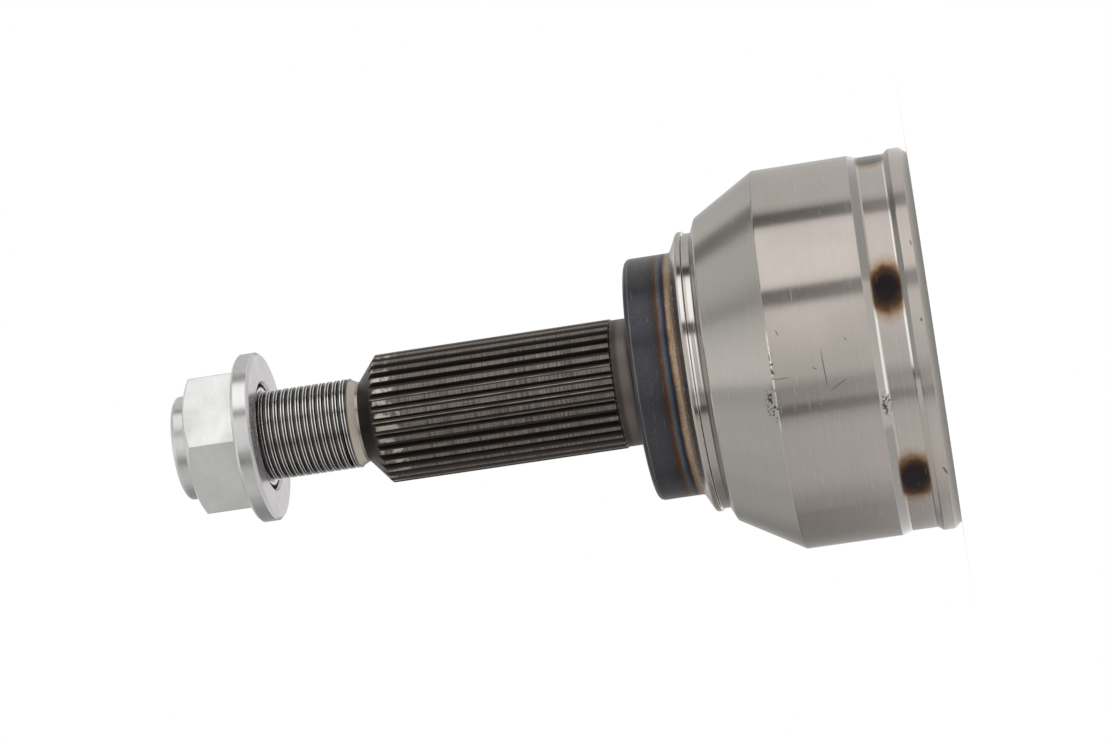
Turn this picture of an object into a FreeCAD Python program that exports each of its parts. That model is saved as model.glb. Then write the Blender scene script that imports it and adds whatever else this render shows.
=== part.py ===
import FreeCAD, Part
import math
import os
import Sketcher

# Outer fixed constant-velocity joint of a driven front wheel, as it comes apart on a bench:
# a one-piece forging (bell with a splined stub), an inner race, a ball cage with six balls,
# a retaining ring, and a flange nut with its captive washer.
# Frame: Z is the wheel axis, the stub points up and the mouth of the bell lies on Z = 0.

doc = FreeCAD.newDocument("cv_joint")
FULL_TURN = 360.0
HEX_SIDES = 6
EDGE_MATCH = 0.01  # mm by which an edge may miss the radius and height that it is looked up by
SLIVER = 1.0  # mm3, the least that a cut has to take away

# ---------------------------------------------------------------- driving dimensions, in mm
# Heights of the bell and its stub run along the axis from the mouth. Heights of the inner race,
# the cage and the retaining ring run from the joint's centre, those of the washer and the nut
# from the face that each one stands on.
DIMENSIONS = [
    # bell, outside
    ("mouth_edge_radius", 48.3), ("mouth_edge_height", 1.7),
    ("rim_radius", 50.0), ("rim_top", 4.9),
    ("boot_seat_radius", 49.0), ("boot_seat_bottom", 6.2), ("boot_seat_top", 12.9),
    ("rim_rounding", 0.5), ("boot_seat_rounding", 0.4),
    ("barrel_radius", 49.85), ("barrel_bottom", 15.45), ("barrel_top", 40.5), ("barrel_rounding", 0.6),
    ("shoulder_radius", 40.1), ("shoulder_height", 57.0), ("shoulder_rounding", 1.0),
    ("recess_radius", 36.4), ("recess_bottom", 58.6), ("recess_top", 60.6),
    ("ring_radius", 37.0), ("ring_bottom", 60.9), ("ring_top", 62.3), ("ring_rounding", 0.7),
    # bearing shoulder
    ("collar_radius", 32.0), ("collar_bottom", 64.8), ("collar_top", 76.9),
    ("collar_rounding", 1.5), ("collar_root_fillet", 1.0),
    # splined stub
    ("neck_radius", 16.8), ("neck_fillet", 2.5), ("neck_top", 82.9),
    ("spline_radius", 17.15), ("spline_bottom", 83.3), ("spline_top", 146.1),
    ("spline_teeth", 32), ("spline_turn", 0.725), ("spline_root_radius", 15.7), ("tooth_gap_reach", 17.6),
    ("tooth_gap_outer", 2.3), ("tooth_gap_root", 0.75),
    # threaded end of the stub, plain at the root of its thread
    ("relief_radius", 10.7), ("relief_bottom", 151.5), ("relief_top", 152.2),
    ("shank_radius", 11.75), ("shank_bottom", 154.3), ("shank_top", 155.5),
    ("thread_root_radius", 10.77), ("thread_bottom", 156.3),
    ("stub_end", 199.5), ("stub_end_chamfer", 1.0),
    ("centre_hole_radius", 1.6), ("centre_cone_radius", 3.8), ("centre_cone_bottom", 195.7),
    ("centre_hole_bottom", 192.5),
    # bell, inside
    ("mouth_lip_radius", 45.9), ("mouth_lip_height", 0.7), ("mouth_bore_radius", 45.2),
    ("joint_centre", 26.0), ("seat_radius", 38.3),
    ("seat_bottom", 14.0), ("cavity_floor", 56.0), ("floor_dish_radius", 13.5), ("floor_dish_top", 59.0),
    # balls and their tracks
    ("ball_count", 6), ("ball_radius", 9.525), ("pitch_radius", 34.0),
    ("track_offset", 4.0), ("track_radius", 9.8), ("track_sweep", 100),
    # ball cage
    ("cage_outer_radius", 38.1), ("cage_inner_radius", 31.9), ("cage_width", 30.0),
    ("cage_edge_height", 14.4), ("cage_face_outside", 34.5), ("cage_face_inside", 28.8),
    ("window_height", 19.65), ("window_length", 22.8), ("window_corner", 3.5), ("window_reach", 40.0),
    # inner race
    ("race_radius", 31.7), ("race_width", 25.0), ("race_face_radius", 28.3), ("race_edge_height", 11.8),
    ("race_bore_radius", 12.6), ("race_teeth", 27), ("race_gap_reach", 12.2),
    ("race_spline_radius", 13.5), ("race_gap_inner", 1.9), ("race_gap_outer", 0.9),
    ("pilot_radius", 14.6), ("pilot_height", 9.5),
    ("clip_groove_radius", 14.9), ("clip_groove_bottom", 8.0), ("clip_groove_top", 5.9),
    # retaining ring
    ("clip_outer_radius", 14.7), ("clip_inner_radius", 12.0), ("clip_thickness", 1.8), ("clip_sweep", 320),
    # captive washer
    ("washer_seat", 177.9), ("washer_thickness", 5.0), ("washer_radius", 22.6), ("washer_chamfer", 0.7),
    ("washer_bore_radius", 13.3), ("washer_cone_radius", 14.8), ("washer_cone_height", 2.6),
    # hub nut
    ("nut_seat", 183.0), ("nut_turn", -75.9), ("hex_width", 36.0), ("hex_height", 14.0),
    ("crown_radius", 17.7), ("crown_reach", 21.5), ("crown_foot", 11.8),
    ("nut_bore_radius", 10.85), ("nut_lead_radius", 12.2), ("nut_lead_bottom", 3.3),
    ("spigot_depth", 4.5), ("spigot_radius", 12.95), ("spigot_lip_radius", 13.65), ("spigot_lip_top", 3.9),
    ("spigot_waist", 2.9),
    ("nut_collar_radius", 13.9), ("nut_collar_top", 18.5), ("nut_collar_rounding", 1.0),
    ("nut_collar_bore_radius", 12.4), ("nut_thread_top", 14.0), ("nut_collar_bore_bottom", 15.2),
]

dims = doc.addObject("Spreadsheet::Sheet", "dims")
for row, (alias, value) in enumerate(DIMENSIONS, start=1):
    dims.set("A%d" % row, alias)
    dims.set("B%d" % row, str(value))
    dims.setAlias("B%d" % row, alias)
doc.recompute()


# ---------------------------------------------------------------- drawing helpers
# A length is a sheet name, or a pair of a sheet name and the factor it is taken by.
def value_of(length):
    alias, factor = length if isinstance(length, tuple) else (length, 1.0)
    return float(dims.get(alias)) * factor


def formula_of(length):
    alias, factor = length if isinstance(length, tuple) else (length, 1.0)
    return "dims.%s * %s" % (alias, factor)


def new_body(label):
    body = doc.addObject("PartDesign::Body", label)
    body.Label = label
    return body


def origin_feature(body, role):
    return [feature for feature in body.Origin.OriginFeatures if feature.Role == role][0]


def new_sketch(body, name, plane, height=None):
    """Empty sketch on one of the body's own planes, raised by a formula where height is given."""
    sketch = body.newObject("Sketcher::SketchObject", name)
    sketch.AttachmentSupport = [(origin_feature(body, plane), "")]
    sketch.MapMode = "FlatFace"
    if height is not None:
        sketch.setExpression("AttachmentOffset.Base.z", height)
    return sketch


def dimension(sketch, formula, *constraint):
    """Add one dimension to the sketch and bind it to the sheet."""
    index = sketch.addConstraint(Sketcher.Constraint(*constraint))
    name = "size_%d" % index
    sketch.renameConstraint(index, name)
    sketch.setExpression("Constraints." + name, formula)


def hold_point(sketch, element, point, across, along):
    """Fix a point at two lengths from the sketch's origin; None leaves that one to its neighbours."""
    if across is not None:
        dimension(sketch, formula_of(across), "DistanceX", -1, 1, element, point, value_of(across))
    if along is not None:
        dimension(sketch, formula_of(along), "DistanceY", -1, 1, element, point, value_of(along))


ZERO = ("joint_centre", 0.0)  # on the axis, or at the height that the lengths run from
ON_ARC = None


def draw_outline(sketch, corners, arcs=()):
    """Closed outline through (across, along) corners, with straight sides between them.

    Each arc is (its side's number, height of its centre on the axis, radius). A corner whose
    across is ON_ARC takes its distance from the axis from the arc that it ends.
    """
    count = len(corners)
    arc_of_side = {side: (centre, radius) for side, centre, radius in arcs}
    points = []
    for index, (across, along) in enumerate(corners):
        if across is ON_ARC:
            side = index if index in arc_of_side else index - 1
            centre, radius = arc_of_side[side]
            rise = value_of(along) - value_of(centre)
            distance = math.sqrt(value_of(radius) ** 2 - rise ** 2)
            points.append(FreeCAD.Vector(distance, value_of(along), 0))
        else:
            points.append(FreeCAD.Vector(value_of(across), value_of(along), 0))
    ends = []
    for side in range(count):
        start, finish = points[side], points[(side + 1) % count]
        if side in arc_of_side:
            centre, radius = arc_of_side[side]
            middle = FreeCAD.Vector(0, value_of(centre), 0)
            circle = Part.Circle(middle, FreeCAD.Vector(0, 0, 1), value_of(radius))
            angles = [math.atan2(point.y - middle.y, point.x - middle.x) for point in (start, finish)]
            sketch.addGeometry(Part.ArcOfCircle(circle, min(angles), max(angles)))
            ends.append((1, 2) if angles[0] < angles[1] else (2, 1))
            hold_point(sketch, side, 3, ZERO, centre)
            dimension(sketch, formula_of(radius), "Radius", side, value_of(radius))
        else:
            sketch.addGeometry(Part.LineSegment(start, finish))
            ends.append((1, 2))
    for side in range(count):
        following = (side + 1) % count
        sketch.addConstraint(Sketcher.Constraint("Coincident", side, ends[side][1],
                                                 following, ends[following][0]))
    for index, (across, along) in enumerate(corners):
        hold_point(sketch, index, ends[index][0], across, along)


def draw_tooth_gap(sketch, near, near_width, far, far_width):
    """Trapezoid across the sketch's X axis: the space between two teeth of a spline."""
    draw_outline(sketch, [(near, (near_width, -0.5)), (far, (far_width, -0.5)),
                          (far, (far_width, 0.5)), (near, (near_width, 0.5))])


def turn_about_axis(body, kind, name, sketch):
    """Revolution or Groove of a half section, a full turn about the body's axis."""
    feature = body.newObject("PartDesign::" + kind, name)
    feature.Profile = sketch
    feature.ReferenceAxis = (sketch, ["V_Axis"])
    feature.Angle = FULL_TURN
    doc.recompute()
    return feature


def repeat_round_axis(body, name, feature, formula):
    """Polar pattern of one feature about the body's Z axis."""
    pattern = body.newObject("PartDesign::PolarPattern", name)
    pattern.Originals = [feature]
    pattern.Axis = (origin_feature(body, "Z_Axis"), [""])
    pattern.Angle = FULL_TURN
    pattern.setExpression("Occurrences", formula)
    body.Tip = pattern
    doc.recompute()
    return pattern


def circles_at(feature, places):
    """Names of the round edges of a feature at the given (radius, height) pairs."""
    names = []
    for radius, height in places:
        for number, edge in enumerate(feature.Shape.Edges, start=1):
            curve = edge.Curve
            if (isinstance(curve, Part.Circle) and abs(curve.Radius - value_of(radius)) < EDGE_MATCH
                    and abs(curve.Center.z - value_of(height)) < EDGE_MATCH):
                names.append("Edge%d" % number)
    return names


def dress_edges(body, kind, name, places, length):
    """Fillet or Chamfer on the tip's round edges."""
    base = body.Tip
    feature = body.newObject("PartDesign::" + kind, name)
    feature.Base = (base, circles_at(base, places))
    feature.setExpression("Radius" if kind == "Fillet" else "Size", formula_of(length))
    doc.recompute()
    return feature


def require_less(body, volume_before, name):
    """Stop if a cut has taken nothing away."""
    if body.Shape.Volume >= volume_before - SLIVER:
        raise RuntimeError(name + " has cut nothing")


def cut_tracks(body, name, centre_height):
    """Six ball tracks: each a round groove swept about a point on the axis, below or above the
    joint's centre, so that the outer and inner tracks close on the balls like a pair of wedges."""
    volume_before = body.Shape.Volume
    sketch = new_sketch(body, name + "_section", "XY_Plane", centre_height)
    reach = math.hypot(value_of("pitch_radius"), value_of("track_offset"))
    sketch.addGeometry(Part.Circle(FreeCAD.Vector(reach, 0, 0), FreeCAD.Vector(0, 0, 1),
                                   value_of("track_radius")))
    sketch.addConstraint(Sketcher.Constraint("PointOnObject", 0, 3, -1))
    dimension(sketch, "sqrt(dims.pitch_radius ^ 2 + dims.track_offset ^ 2)",
              "DistanceX", -1, 1, 0, 3, reach)
    dimension(sketch, "dims.track_radius", "Radius", 0, value_of("track_radius"))
    groove = body.newObject("PartDesign::Groove", name)
    groove.Profile = sketch
    groove.ReferenceAxis = (sketch, ["V_Axis"])
    groove.Midplane = True
    groove.setExpression("Angle", "dims.track_sweep")
    doc.recompute()
    repeat_round_axis(body, name + "_pattern", groove, "dims.ball_count")
    require_less(body, volume_before, name)


def cut_through_wall(body, name, sketch, depth):
    """Pocket that leaves its sketch along the plane's own normal."""
    pocket = body.newObject("PartDesign::Pocket", name)
    pocket.Profile = sketch
    pocket.Type = "Length"
    pocket.Reversed = True
    pocket.setExpression("Length", depth)
    doc.recompute()
    return pocket


# ---------------------------------------------------------------- outer race: bell and stub
# One steel forging. Turned outside with a seat for the boot behind the rim, a cone down to the
# bearing shoulder, and a stub with a spline for the wheel hub and an M24 x 2 end for the nut.
def build_outer_race():
    body = new_body("outer_race")
    section = new_sketch(body, "forging_section", "XZ_Plane")
    draw_outline(section, [
        (ZERO, ZERO), ("mouth_edge_radius", ZERO), ("rim_radius", "mouth_edge_height"),
        ("rim_radius", "rim_top"), ("boot_seat_radius", "boot_seat_bottom"),
        ("boot_seat_radius", "boot_seat_top"), ("barrel_radius", "barrel_bottom"),
        ("barrel_radius", "barrel_top"), ("shoulder_radius", "shoulder_height"),
        ("recess_radius", "recess_bottom"), ("recess_radius", "recess_top"),
        ("ring_radius", "ring_bottom"), ("ring_radius", "ring_top"),
        ("collar_radius", "collar_bottom"), ("collar_radius", "collar_top"),
        ("neck_radius", "collar_top"), ("neck_radius", "neck_top"),
        ("spline_radius", "spline_bottom"), ("spline_radius", "spline_top"),
        ("relief_radius", "relief_bottom"), ("relief_radius", "relief_top"),
        ("shank_radius", "shank_bottom"), ("shank_radius", "shank_top"),
        ("thread_root_radius", "thread_bottom"), ("thread_root_radius", "stub_end"),
        (ZERO, "stub_end")])
    turn_about_axis(body, "Revolution", "forging", section)

    dress_edges(body, "Fillet", "rim_edges",
                [("rim_radius", "mouth_edge_height"), ("rim_radius", "rim_top")], "rim_rounding")
    dress_edges(body, "Fillet", "boot_seat_edges",
                [("boot_seat_radius", "boot_seat_bottom"), ("boot_seat_radius", "boot_seat_top"),
                 ("barrel_radius", "barrel_bottom")], "boot_seat_rounding")
    dress_edges(body, "Fillet", "barrel_edge", [("barrel_radius", "barrel_top")], "barrel_rounding")
    dress_edges(body, "Fillet", "shoulder_edge", [("shoulder_radius", "shoulder_height")],
                "shoulder_rounding")
    dress_edges(body, "Fillet", "ring_edge", [("ring_radius", "ring_top")], "ring_rounding")
    dress_edges(body, "Fillet", "collar_root", [("collar_radius", "collar_bottom")],
                "collar_root_fillet")
    dress_edges(body, "Fillet", "collar_edge", [("collar_radius", "collar_top")], "collar_rounding")
    dress_edges(body, "Fillet", "neck_root", [("neck_radius", "collar_top")], "neck_fillet")
    dress_edges(body, "Chamfer", "stub_end_edge", [("thread_root_radius", "stub_end")], "stub_end_chamfer")

    volume_before = body.Shape.Volume
    centre = new_sketch(body, "centre_hole_section", "XZ_Plane")
    draw_outline(centre, [(ZERO, "stub_end"), (ZERO, "centre_hole_bottom"),
                          ("centre_hole_radius", "centre_hole_bottom"),
                          ("centre_hole_radius", "centre_cone_bottom"), ("centre_cone_radius", "stub_end")])
    turn_about_axis(body, "Groove", "centre_hole", centre)
    require_less(body, volume_before, "centre_hole")

    # The mouth flares from the ball seat to the rim, so that the half shaft can swing. The forging
    # punch leaves a dish in the floor.
    volume_before = body.Shape.Volume
    cavity = new_sketch(body, "cavity_section", "XZ_Plane")
    draw_outline(cavity, [(ZERO, ZERO), ("mouth_lip_radius", ZERO),
                          ("mouth_bore_radius", "mouth_lip_height"), (ON_ARC, "seat_bottom"),
                          (ON_ARC, "cavity_floor"), ("floor_dish_radius", "cavity_floor"),
                          (ZERO, "floor_dish_top")],
                 arcs=[(3, "joint_centre", "seat_radius")])
    turn_about_axis(body, "Groove", "cavity", cavity)
    require_less(body, volume_before, "cavity")
    cut_tracks(body, "outer_track", "dims.joint_centre - dims.track_offset")

    volume_before = body.Shape.Volume
    gap = new_sketch(body, "stub_tooth_gap", "XY_Plane", "dims.spline_bottom")
    gap.setExpression("AttachmentOffset.Rotation.Angle", "dims.spline_turn")
    draw_tooth_gap(gap, "spline_root_radius", "tooth_gap_root", "tooth_gap_reach", "tooth_gap_outer")
    space = cut_through_wall(body, "stub_tooth_space", gap, "dims.relief_bottom - dims.spline_bottom")
    repeat_round_axis(body, "stub_spline", space, "dims.spline_teeth")
    require_less(body, volume_before, "stub_spline")
    return body


# ---------------------------------------------------------------- inner race
# A ball of bearing steel with its ends faced off. The half shaft's spline runs through it, a
# plain pilot guides the shaft in at the mouth side, and a groove behind it holds the ring.
def build_inner_race():
    body = new_body("inner_race")
    end = ("race_width", 0.5)
    mouth_end = ("race_width", -0.5)
    section = new_sketch(body, "race_section", "XZ_Plane")
    draw_outline(section, [(ZERO, mouth_end), ("race_face_radius", mouth_end),
                           (ON_ARC, ("race_edge_height", -1.0)), (ON_ARC, "race_edge_height"),
                           ("race_face_radius", end), (ZERO, end)],
                 arcs=[(2, ZERO, "race_radius")])
    turn_about_axis(body, "Revolution", "race_ball", section)
    cut_tracks(body, "inner_track", "dims.track_offset")

    volume_before = body.Shape.Volume
    bore = new_sketch(body, "race_bore_section", "XZ_Plane")
    draw_outline(bore, [(ZERO, mouth_end), ("race_bore_radius", mouth_end),
                        ("race_bore_radius", end), (ZERO, end)])
    turn_about_axis(body, "Groove", "race_bore", bore)
    require_less(body, volume_before, "race_bore")

    volume_before = body.Shape.Volume
    gap = new_sketch(body, "race_tooth_gap", "XY_Plane", "-dims.race_width / 2")
    draw_tooth_gap(gap, "race_gap_reach", "race_gap_inner", "race_spline_radius", "race_gap_outer")
    space = cut_through_wall(body, "race_tooth_space", gap, "dims.race_width")
    repeat_round_axis(body, "race_spline", space, "dims.race_teeth")
    require_less(body, volume_before, "race_spline")

    volume_before = body.Shape.Volume
    pilot = new_sketch(body, "pilot_section", "XZ_Plane")
    pilot_end = ("pilot_height", -1.0)
    draw_outline(pilot, [(ZERO, mouth_end), ("pilot_radius", mouth_end), ("pilot_radius", pilot_end),
                         (ZERO, pilot_end)])
    turn_about_axis(body, "Groove", "pilot", pilot)
    require_less(body, volume_before, "pilot")

    volume_before = body.Shape.Volume
    seat = new_sketch(body, "clip_groove_section", "XZ_Plane")
    groove_bottom = ("clip_groove_bottom", -1.0)
    groove_top = ("clip_groove_top", -1.0)
    draw_outline(seat, [(ZERO, groove_bottom), ("clip_groove_radius", groove_bottom),
                        ("clip_groove_radius", groove_top), (ZERO, groove_top)])
    turn_about_axis(body, "Groove", "clip_groove", seat)
    require_less(body, volume_before, "clip_groove")
    body.setExpression("Placement.Base.z", "dims.joint_centre")
    return body


# ---------------------------------------------------------------- ball cage
# A spherical ring that holds the six balls in one plane, in windows longer than the balls,
# because the balls draw together and part as the joint bends.
def draw_window(sketch):
    """Rectangle with round corners, centred on the sketch's origin."""
    radius = value_of("window_corner")
    across = value_of("window_length") / 2 - radius
    along = value_of("window_height") / 2 - radius
    quadrants = [(1, 1), (-1, 1), (-1, -1), (1, -1)]
    quarter_turn = math.pi / 2
    centres = []
    for quarter, (side, level) in enumerate(quadrants):
        centre = FreeCAD.Vector(side * across, level * along, 0)
        centres.append(centre)
        circle = Part.Circle(centre, FreeCAD.Vector(0, 0, 1), radius)
        start = quarter * quarter_turn
        sketch.addGeometry(Part.ArcOfCircle(circle, start, start + quarter_turn))
        dimension(sketch, "%d * (dims.window_length / 2 - dims.window_corner)" % side,
                  "DistanceX", -1, 1, quarter, 3, centre.x)
        dimension(sketch, "%d * (dims.window_height / 2 - dims.window_corner)" % level,
                  "DistanceY", -1, 1, quarter, 3, centre.y)
        dimension(sketch, "dims.window_corner", "Radius", quarter, radius)
    for quarter in range(len(quadrants)):
        following = (quarter + 1) % len(quadrants)
        angle = (quarter + 1) * quarter_turn
        outward = FreeCAD.Vector(math.cos(angle), math.sin(angle), 0) * radius
        side_line = Part.LineSegment(centres[quarter] + outward, centres[following] + outward)
        line = sketch.addGeometry(side_line)
        sketch.addConstraint(Sketcher.Constraint("Tangent", quarter, 2, line, 1))
        sketch.addConstraint(Sketcher.Constraint("Tangent", line, 2, following, 1))


def build_ball_cage():
    body = new_body("ball_cage")
    end = ("cage_width", 0.5)
    mouth_end = ("cage_width", -0.5)
    section = new_sketch(body, "cage_section", "XZ_Plane")
    mouth_edge = ("cage_edge_height", -1.0)
    draw_outline(section, [(ON_ARC, mouth_edge), (ON_ARC, "cage_edge_height"),
                           ("cage_face_outside", end), ("cage_face_inside", end),
                           (ON_ARC, "cage_edge_height"), (ON_ARC, mouth_edge),
                           ("cage_face_inside", mouth_end), ("cage_face_outside", mouth_end)],
                 arcs=[(0, ZERO, "cage_outer_radius"), (4, ZERO, "cage_inner_radius")])
    turn_about_axis(body, "Revolution", "cage_ring", section)
    volume_before = body.Shape.Volume
    window = new_sketch(body, "window_outline", "YZ_Plane")
    draw_window(window)
    opening = cut_through_wall(body, "window", window, "dims.window_reach")
    repeat_round_axis(body, "windows", opening, "dims.ball_count")
    require_less(body, volume_before, "windows")
    body.setExpression("Placement.Base.z", "dims.joint_centre")
    return body


# ---------------------------------------------------------------- balls
# Six ground balls, loose in the tracks and held in one plane by the cage.
def build_balls():
    balls = []
    for number in range(int(value_of("ball_count"))):
        ball = doc.addObject("Part::Sphere", "ball_%d" % (number + 1))
        ball.Label = "ball_%d" % (number + 1)
        ball.setExpression("Radius", "dims.ball_radius")
        around = "(360 deg * %d / dims.ball_count)" % number
        ball.setExpression("Placement.Base.x", "dims.pitch_radius * cos%s" % around)
        ball.setExpression("Placement.Base.y", "dims.pitch_radius * sin%s" % around)
        ball.setExpression("Placement.Base.z", "dims.joint_centre")
        balls.append(ball)
    return balls


# ---------------------------------------------------------------- retaining ring
# A sprung open ring that snaps into the half shaft's end groove.
def build_shaft_circlip():
    body = new_body("shaft_circlip")
    section = new_sketch(body, "clip_section", "XZ_Plane")
    draw_outline(section, [("clip_inner_radius", ZERO), ("clip_outer_radius", ZERO),
                           ("clip_outer_radius", "clip_thickness"),
                           ("clip_inner_radius", "clip_thickness")])
    ring = turn_about_axis(body, "Revolution", "clip_ring", section)
    ring.setExpression("Angle", "dims.clip_sweep")
    body.setExpression("Placement.Base.z", "dims.joint_centre - dims.clip_groove_bottom")
    return body


# ---------------------------------------------------------------- captive washer
# A thick turned disc that stays with the nut. Its bore opens out to a cone on the hub's side.
def build_captive_washer():
    body = new_body("captive_washer")
    section = new_sketch(body, "washer_section", "XZ_Plane")
    draw_outline(section, [("washer_cone_radius", ZERO), ("washer_radius", ZERO),
                           ("washer_radius", "washer_thickness"),
                           ("washer_bore_radius", "washer_thickness"),
                           ("washer_bore_radius", "washer_cone_height")])
    turn_about_axis(body, "Revolution", "washer_disc", section)
    dress_edges(body, "Chamfer", "washer_edges",
                [("washer_radius", ZERO), ("washer_radius", "washer_thickness")], "washer_chamfer")
    body.setExpression("Placement.Base.z", "dims.washer_seat")
    return body


# ---------------------------------------------------------------- hub nut
# A hexagon with a thin collar on its outer end, which is staked into the stub once the hub is
# tight. The spigot below it is flared into the washer's bore, so that the washer stays on.
def draw_hexagon(sketch):
    radius = value_of("hex_width") / math.sqrt(3)
    corners = []
    for index in range(HEX_SIDES):
        angle = index * 2 * math.pi / HEX_SIDES
        corners.append(FreeCAD.Vector(radius * math.cos(angle), radius * math.sin(angle), 0))
    for index in range(HEX_SIDES):
        sketch.addGeometry(Part.LineSegment(corners[index], corners[(index + 1) % HEX_SIDES]))
    for index in range(HEX_SIDES):
        around = FULL_TURN * index / HEX_SIDES
        sketch.addConstraint(Sketcher.Constraint("Coincident", index, 2, (index + 1) % HEX_SIDES, 1))
        dimension(sketch, "dims.hex_width / sqrt(3) * cos(%g deg)" % around,
                  "DistanceX", -1, 1, index, 1, corners[index].x)
        dimension(sketch, "dims.hex_width / sqrt(3) * sin(%g deg)" % around,
                  "DistanceY", -1, 1, index, 1, corners[index].y)


def build_hub_nut():
    body = new_body("hub_nut")
    outline = new_sketch(body, "hexagon", "XY_Plane")
    draw_hexagon(outline)
    hexagon = body.newObject("PartDesign::Pad", "hex_block")
    hexagon.Profile = outline
    hexagon.setExpression("Length", "dims.hex_height")
    doc.recompute()

    volume_before = body.Shape.Volume
    crown = new_sketch(body, "crown_section", "XZ_Plane")
    draw_outline(crown, [("crown_radius", "hex_height"), ("crown_reach", "crown_foot"),
                         ("crown_reach", "hex_height")])
    turn_about_axis(body, "Groove", "crown", crown)
    require_less(body, volume_before, "crown")

    foot = ("spigot_depth", -1.0)
    lip_top = ("spigot_lip_top", -1.0)
    waist = ("spigot_waist", -1.0)
    inside_hex = ("hex_height", 0.5)
    round_part = new_sketch(body, "spigot_and_collar_section", "XZ_Plane")
    draw_outline(round_part, [(ZERO, foot), ("spigot_lip_radius", foot),
                              ("spigot_lip_radius", lip_top), ("spigot_radius", waist),
                              ("spigot_radius", inside_hex), ("nut_collar_radius", inside_hex),
                              ("nut_collar_radius", "nut_collar_top"), (ZERO, "nut_collar_top")])
    turn_about_axis(body, "Revolution", "spigot_and_collar", round_part)
    dress_edges(body, "Fillet", "nut_collar_edge", [("nut_collar_radius", "nut_collar_top")],
                "nut_collar_rounding")

    volume_before = body.Shape.Volume
    bore = new_sketch(body, "nut_bore_section", "XZ_Plane")
    draw_outline(bore, [(ZERO, foot), ("nut_lead_radius", foot),
                        ("nut_bore_radius", ("nut_lead_bottom", -1.0)),
                        ("nut_bore_radius", "nut_thread_top"),
                        ("nut_collar_bore_radius", "nut_collar_bore_bottom"),
                        ("nut_collar_bore_radius", "nut_collar_top"), (ZERO, "nut_collar_top")])
    turn_about_axis(body, "Groove", "nut_bore", bore)
    require_less(body, volume_before, "nut_bore")
    body.setExpression("Placement.Base.z", "dims.nut_seat")
    body.setExpression("Placement.Rotation.Angle", "dims.nut_turn")
    return body


# ---------------------------------------------------------------- assembly and export
subparts = [build_outer_race(), build_inner_race(), build_ball_cage(), build_shaft_circlip(),
            build_captive_washer(), build_hub_nut()] + build_balls()
doc.recompute()

for item in doc.Objects:
    if "Invalid" in item.State or "Error" in item.State:
        raise RuntimeError("%s did not rebuild: %s" % (item.Name, item.State))
for subpart in subparts:
    if subpart.Shape.isNull() or not subpart.Shape.isValid():
        raise RuntimeError("%s has no valid solid" % subpart.Label)

os.makedirs("parts", exist_ok=True)
for subpart in subparts:
    subpart.Shape.exportStep("parts/%s.step" % subpart.Label)
    print("%-16s %10.1f mm3" % (subpart.Label, subpart.Shape.Volume))
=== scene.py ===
import math
import bmesh
import bpy
from mathutils import Matrix, Vector


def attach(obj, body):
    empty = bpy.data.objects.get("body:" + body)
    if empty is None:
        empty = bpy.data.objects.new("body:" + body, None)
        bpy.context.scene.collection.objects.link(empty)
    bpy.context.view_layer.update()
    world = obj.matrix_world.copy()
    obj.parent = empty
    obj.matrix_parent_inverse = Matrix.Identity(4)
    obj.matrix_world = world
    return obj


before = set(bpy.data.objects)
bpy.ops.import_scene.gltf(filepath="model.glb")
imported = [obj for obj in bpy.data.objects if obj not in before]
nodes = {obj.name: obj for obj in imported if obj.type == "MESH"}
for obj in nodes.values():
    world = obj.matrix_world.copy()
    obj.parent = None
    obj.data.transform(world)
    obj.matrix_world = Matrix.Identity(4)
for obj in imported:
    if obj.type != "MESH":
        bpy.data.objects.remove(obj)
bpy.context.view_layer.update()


# Bell, outside. The bell and the stub are one steel forging. The bell is turned all over on the
# outside and left bare, so that fine lathe lines run round it, and six dark oval burns lie on the
# boot seat, one over each ball track.
def put(tree, kind, inputs=(), **settings):
    """One shader node: its own settings first, then its inputs, each linked or set."""
    node = tree.nodes.new("ShaderNode" + kind)
    for name, value in settings.items():
        setattr(node, name, value)
    for socket, value in dict(inputs).items():
        if isinstance(value, bpy.types.NodeSocket):
            tree.links.new(value, node.inputs[socket])
        else:
            node.inputs[socket].default_value = value
    return node


def work_out(tree, operation, *values):
    """One sum on values or sockets."""
    return put(tree, "Math", dict(enumerate(values)), operation=operation).outputs[0]


def fade(tree, value, start, stop, low=0.0, high=1.0):
    """Runs smoothly from low to high while the value goes from start to stop."""
    inputs = {"Value": value, "From Min": start, "From Max": stop, "To Min": low, "To Max": high}
    return put(tree, "MapRange", inputs, interpolation_type="SMOOTHSTEP").outputs["Result"]


def band(tree, value, low, high, soft):
    """1 between low and high, 0 beyond them, soft at both edges."""
    rise = fade(tree, value, low - soft, low + soft)
    fall = fade(tree, value, high - soft, high + soft, 1.0, 0.0)
    return work_out(tree, "MULTIPLY", rise, fall)


def tint(tree, share, under, over):
    """Colour over laid on colour under by its share."""
    return put(tree, "Mix", {0: share, 6: under, 7: over}, data_type="RGBA").outputs[2]


def colour_ramp(tree, value, stops):
    """Colours at given places from 0 to 1, as (place, (red, green, blue)). The ramp can reorder
    itself as places are set, so the colours are set after all of them."""
    node = put(tree, "ValToRGB", {0: value})
    elements = node.color_ramp.elements
    for _ in stops[2:]:
        elements.new(0.5)
    for element, (at, _) in zip(elements, stops):
        element.position = at
    for element, (_, colour) in zip(elements, stops):
        element.color = (*colour, 1)
    return node.outputs[0]


def square(tree, value, size):
    """The square of a value measured in a given size."""
    return work_out(tree, "POWER", work_out(tree, "DIVIDE", value, size), 2.0)


def scaled(tree, value, factor):
    """A value or socket times a factor, which may be a socket too."""
    return work_out(tree, "MULTIPLY", value, factor)


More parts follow.
